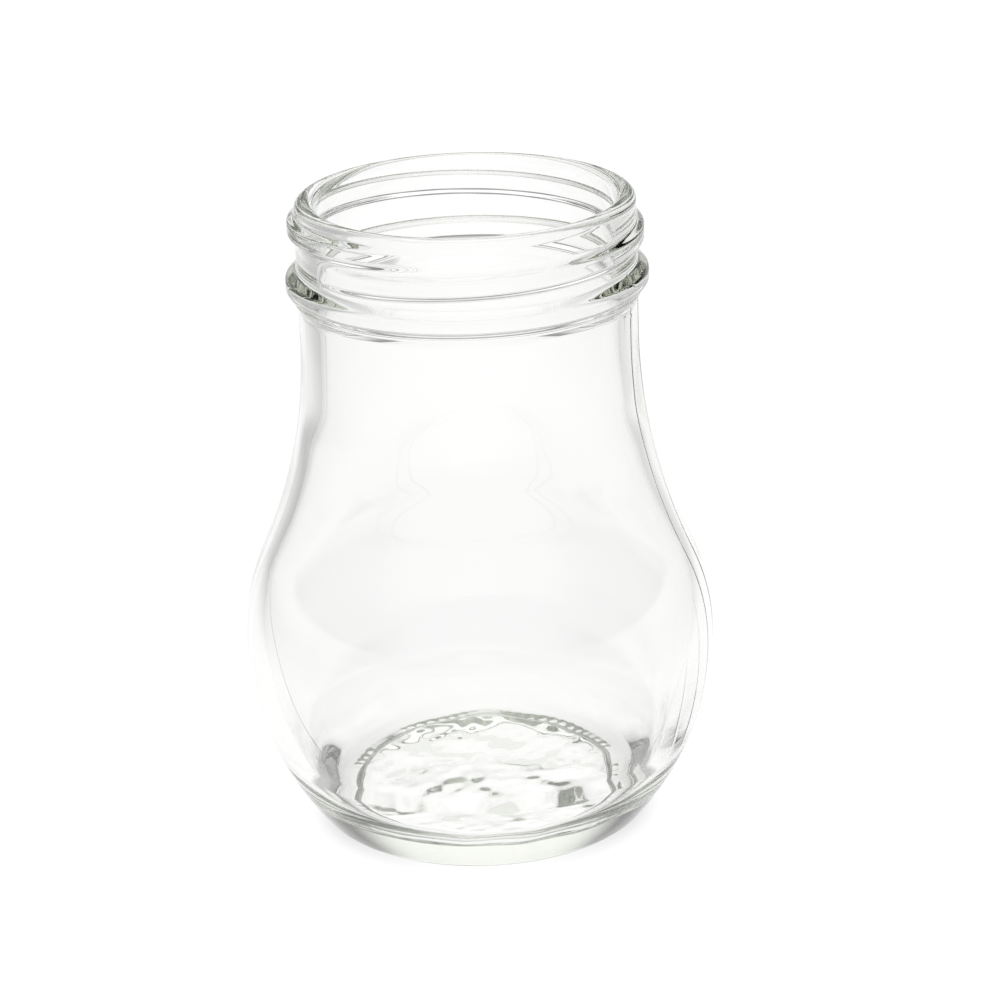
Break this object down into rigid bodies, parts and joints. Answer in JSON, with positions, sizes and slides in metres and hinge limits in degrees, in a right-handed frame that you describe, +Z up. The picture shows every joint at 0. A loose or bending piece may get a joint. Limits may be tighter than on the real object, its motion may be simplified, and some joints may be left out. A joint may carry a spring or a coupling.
{
  "type": "glass syrup dispenser jar",
  "caption": "Clear pear-shaped glass jar with a wide threaded neck for a screw-on pouring lid, a bead below the thread and a thick pushed-up base.",
  "frame": {"origin": "on the jar's axis, in the plane that it stands on", "axes": "+Z up along the jar's axis towards the mouth; the thread's upper end is on the -Y side"},
  "size_m": [0.071, 0.071, 0.0977],
  "materials": {
    "glass": "clear polished soda-lime glass"
  },
  "bodies": {
    "root": {"glass_jar": "glass"}
  },
  "joints": []
}
